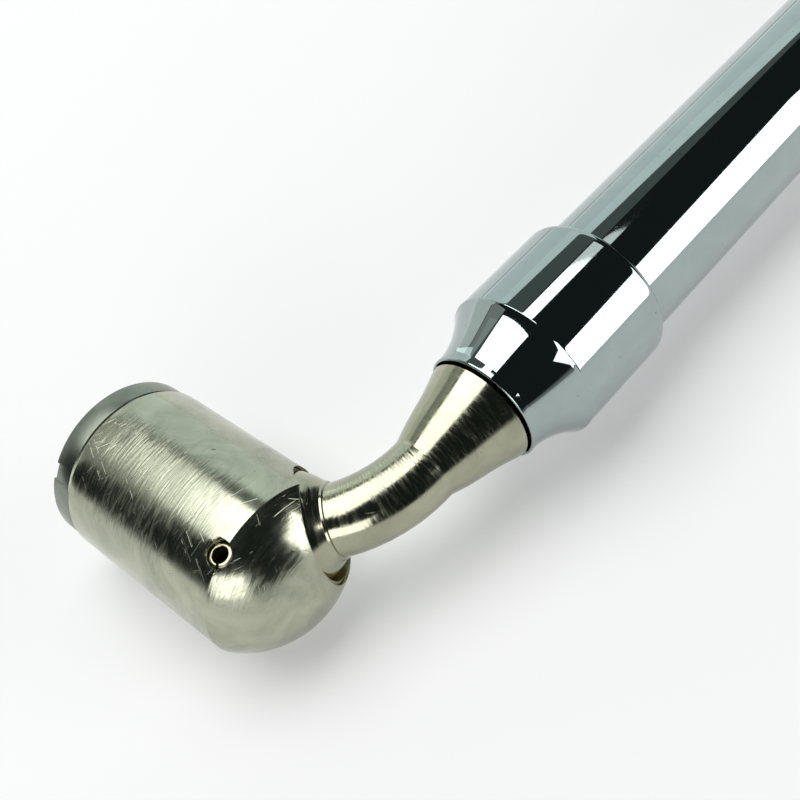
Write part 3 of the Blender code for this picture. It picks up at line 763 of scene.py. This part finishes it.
def make_ferrule():
    """Chrome nose: rounded lip, flare, sharp shoulder, plain barrel, rounded rear and stepped bore."""
    front, rear, radius = measured("nose_ferrule", TUBE_AXIS)
    tube_front, _, tube_radius = measured("outer_tube", TUBE_AXIS)
    section_front = measured("section_1", TUBE_AXIS)[0]
    out, back = FERRULE_MOUTH_EDGE
    profile = [(FERRULE_MOUTH, front + back), (FERRULE_MOUTH + out, front)]
    profile += arc((FERRULE_LIP - FERRULE_LIP_ROUND, front + FERRULE_LIP_ROUND), FERRULE_LIP_ROUND, -90, 0, 5)
    inside, behind = FLARE_START
    corner = radius - FERRULE_CORNER_ROUND
    profile += flare((FERRULE_LIP - inside, front + behind), (corner, FERRULE_CORNER - FERRULE_CORNER_LEAD),
                     24, flare_shape)
    profile += arc((corner, FERRULE_CORNER + FERRULE_CORNER_ROUND / 2), FERRULE_CORNER_ROUND, -40, 0, 3)
    round_start = rear - FERRULE_REAR_ROUND
    profile += [(radius, FERRULE_CORNER + FERRULE_HOLD), (radius, round_start - FERRULE_HOLD)]
    profile += arc((radius - FERRULE_REAR_ROUND, round_start), FERRULE_REAR_ROUND, 0, 82, 10)
    seat, seat_end = tube_radius + FERRULE_SEAT_PLAY, tube_front - FIT
    out, back = FERRULE_SEAT_EDGE
    profile += [(seat + out, rear), (seat, rear - back), (seat, seat_end), (FERRULE_SECTION_ROOM, seat_end),
                (FERRULE_SECTION_ROOM, section_front), (FERRULE_MOUTH, section_front)]
    ferrule = turned("nose_ferrule_fine", profile, TUBE_AXIS, closed=True)
    finish_piece(ferrule, about(TUBE_AXIS), "root", CHROME, "nose_ferrule", sharp=20)


def make_outer_tube():
    start, end, radius = measured("outer_tube", TUBE_AXIS)
    profile = ring_profile(radius - TUBE_WALL, radius, start, end, TUBE_ROUNDING)
    tube = turned("outer_tube_fine", profile, TUBE_AXIS, closed=True)
    finish_piece(tube, about(TUBE_AXIS), "root", CHROME, "outer_tube")


def lipped_profile(throat, radius, start, end):
    """Closed profile of a section whose front is rolled in to a throat."""
    bore = radius - SECTION_WALL
    throat_end, bore_start = SECTION_LIP
    profile = [(bore, end), (bore, start + bore_start), (throat, start + throat_end), (throat, start)]
    profile += arc((radius - SECTION_ROUNDING, start + SECTION_ROUNDING), SECTION_ROUNDING, -90, 0, 4)
    return profile + [(radius, start + 1.5 * SECTION_ROUNDING), (radius, end)]


def make_sections():
    """Nested telescopic tubes; each but the last has its front rolled in round the next one."""
    names = ["section_1", "section_2", "section_3", "tip_tube"]
    bodies = ["section_1_body", "section_2_body", "section_3_body", "tip_body"]
    spans = [measured(name, TUBE_AXIS) for name in names]
    for index, (name, body) in enumerate(zip(names, bodies)):
        start, end, radius = spans[index]
        if name == "tip_tube":
            profile = ring_profile(radius - SECTION_WALL, radius, start, end, SECTION_ROUNDING)
        else:
            profile = lipped_profile(spans[index + 1][2] + SECTION_PLAY, radius, start, end)
        section = turned(f"{name}_fine", profile, TUBE_AXIS, SECTION_ROUND, closed=True)
        finish_piece(section, about(TUBE_AXIS), body, CHROME, name)


def make_grip():
    """Rubber sleeve with a tapered nose, turned grooves between its ribs and a rounded rear."""
    start, end, radius = measured("grip", TUBE_AXIS)
    bore = measured("outer_tube", TUBE_AXIS)[2] + FIT
    nose, taper_start, taper_end = bore + GRIP_NOSE_WALL, start + GRIP_NOSE_ROUND, start + GRIP_TAPER
    profile = [(bore, start)]
    profile += arc((nose - GRIP_NOSE_ROUND, taper_start), GRIP_NOSE_ROUND, -90, 0, 4)
    profile += flare((nose, taper_start), (radius, taper_end), 12,
                     lambda share: math.sin(math.pi / 2 * share))[1:]
    rib_start, rib_end = taper_end + GRIP_RIB_MARGINS[0], end - GRIP_RIB_MARGINS[1]
    pitch = (rib_end - rib_start) / GRIP_RIBS
    for rib in range(GRIP_RIBS):
        for share, depth in GRIP_GROOVE:
            profile.append((radius - GRIP_RIB_DEPTH * depth, rib_start + (rib + share) * pitch))
    profile += arc((radius - GRIP_REAR_ROUND, end - GRIP_REAR_ROUND), GRIP_REAR_ROUND, 0, 90, 8)
    profile.append((bore, end))
    grip = turned("grip_fine", profile, TUBE_AXIS, closed=True)
    finish_piece(grip, about(TUBE_AXIS), "root", RUBBER, "grip", sharp=50)


def make_end_cap():
    """Chrome plug with a turned line round its side and a shallow ring in its flat face."""
    low, high, radius = measured("end_cap", TUBE_AXIS)
    _, tube_end, tube_radius = measured("outer_tube", TUBE_AXIS)
    plug, seat = tube_radius - CAP_PLUG_PLAY, tube_end + FIT
    profile = [(0, low), (plug - CAP_PLUG_CHAMFER, low), (plug, low + CAP_PLUG_CHAMFER), (plug, seat),
               (radius - CAP_EDGE, seat), (radius, seat + CAP_EDGE)]
    profile += [(radius - depth, high - below) for below, depth in CAP_LINE]
    profile.append((radius, high - CAP_ROUNDING - CAP_EDGE))
    profile += arc((radius - CAP_ROUNDING, high - CAP_ROUNDING), CAP_ROUNDING, 0, 90, 10)
    profile += [(share * radius, high - depth) for share, depth in CAP_DISH] + [(0, high)]
    cap = turned("end_cap_fine", profile, TUBE_AXIS)
    finish_piece(cap, about(TUBE_AXIS), "root", CHROME, "end_cap")


def paint_inner_pieces():
    """Gives the CAD nodes that stay as they are their own finishes."""
    finishes = {
        "magnet": MAGNET, "friction_pad": NYLON, "wave_spring": INNER_STEEL, "neck_stud": INNER_STEEL,
        "tip_bush": BRASS, "guide_bush": NYLON,
    }
    for number in range(1, 5):
        finishes[f"friction_sleeve_{number}"] = BRASS
    for name, material in finishes.items():
        node = frame["nodes"][name]
        node.data.materials.clear()
        node.data.materials.append(material)


# ---------------------------------------------------------------- floor, light and camera

def make_floor():
    """Pale surface under the tool that glows a little, so that it stays light in the shade."""
    bpy.ops.object.select_all(action="DESELECT")
    bpy.ops.mesh.primitive_plane_add(size=FLOOR_SIZE)
    floor = bpy.context.object
    floor.name = "floor"
    material, _, shader = start_material("pale_floor", 0.0, 0.2)
    shader.inputs["Base Color"].default_value = (0.64, 0.64, 0.64, 1)
    shader.inputs["Roughness"].default_value = 0.9
    shader.inputs["Emission Color"].default_value = (1, 1, 1, 1)
    shader.inputs["Emission Strength"].default_value = 0.30
    floor.data.materials.append(material)


def add_panel(name, centre, size, radiance, colour=(1, 1, 1), level=False):
    """Soft panel that faces the tool's nose, or straight down if level; the metals mirror its radiance."""
    light = bpy.data.lights.new(name, "AREA")
    light.shape = "RECTANGLE"
    light.size, light.size_y = size
    light.energy = radiance * size[0] * size[1] * math.pi
    light.color = colour
    panel = bpy.data.objects.new(name, light)
    bpy.context.scene.collection.objects.link(panel)
    panel.location = BEND_END + Vector(centre)
    if not level:
        panel.rotation_euler = (BEND_END - panel.location).to_track_quat("-Z", "Y").to_euler()


def around(azimuth, elevation, distance=1.6):
    """Offset from the tool's nose to a wall panel, angles in degrees."""
    turn, rise = math.radians(azimuth), math.radians(elevation)
    across = math.cos(rise)
    return distance * Vector((math.cos(turn) * across, math.sin(turn) * across, math.sin(rise)))


def make_world():
    """Dark room whose walls pale towards the horizon."""
    world = bpy.data.worlds.new("studio")
    world.use_nodes = True
    nodes = Nodes(world.node_tree)
    split = nodes.add("ShaderNodeSeparateXYZ")
    nodes.link(nodes.add("ShaderNodeTexCoord").outputs["Generated"], split.inputs[0])
    height = nodes.remap(split.outputs["Z"], 0.0, 0.10)
    tone = nodes.mix_colour(height, (0.36, 0.37, 0.37, 1), (0.014, 0.020, 0.019, 1))
    nodes.link(tone, world.node_tree.nodes["Background"].inputs["Color"])
    bpy.context.scene.world = world


def add_lights():
    """Bright panels overhead and in front, dim overlapping ones on the ceiling behind, and soft walls."""
    add_panel("overhead", (-0.19, 0.43, 1.2), (1.28, 1.18), 3.4, level=True)
    add_panel("overhead_side", (0.635, 0.18, 1.2), (0.37, 0.32), 3.4, level=True)
    add_panel("overhead_fade", (0.86, 0.18, 1.2), (0.08, 0.32), 1.2, level=True)
    for number, (depth, radiance) in enumerate(zip(CEILING_DEPTHS, CEILING_RADIANCES), start=1):
        add_panel(f"ceiling_{number}", (0.65, CEILING_BACK - depth / 2, 1.24), (2.7, depth), radiance,
                  DIM_GREEN_WHITE, level=True)
    add_panel("right_wall", around(48, 20), (1.6, 1.1), 0.95, COOL_WHITE)
    add_panel("back_wall", around(98, 13), (1.6, 0.75), 0.85, SOFT_GREEN_WHITE)
    add_panel("back_wall_top", around(98, 36), (1.6, 0.5), 0.35, SOFT_GREEN_WHITE)
    add_panel("front_strip", around(-50, 15), (0.85, 0.85), 3.4)
    add_panel("left_panel", around(-146, 14), (1.0, 0.70), 3.2)


def place_camera():
    """Camera close over the head, looking down along the tube."""
    camera_data = bpy.data.cameras.new("camera")
    camera = bpy.data.objects.new("camera", camera_data)
    bpy.context.scene.collection.objects.link(camera)
    camera.location = BEND_END + Vector(CAMERA_PLACE)
    target = BEND_END + Vector(CAMERA_TARGET)
    roll = Euler((0, 0, CAMERA_ROLL)).to_quaternion()
    camera.rotation_euler = ((target - camera.location).to_track_quat("-Z", "Y") @ roll).to_euler()
    camera_data.sensor_width = 36
    camera_data.lens = CAMERA_LENS
    camera_data.clip_start = 0.005
    bpy.context.scene.camera = camera


make_head_shell()
make_magnet_cup()
make_pole_plate()
make_spacer_ring()
make_roll_pin()
make_swivel_bush()
make_neck()
make_ferrule()
make_outer_tube()
make_sections()
make_grip()
make_end_cap()
paint_inner_pieces()
make_floor()
make_world()
add_lights()
place_camera()
bpy.context.scene.view_settings.view_transform = "Standard"
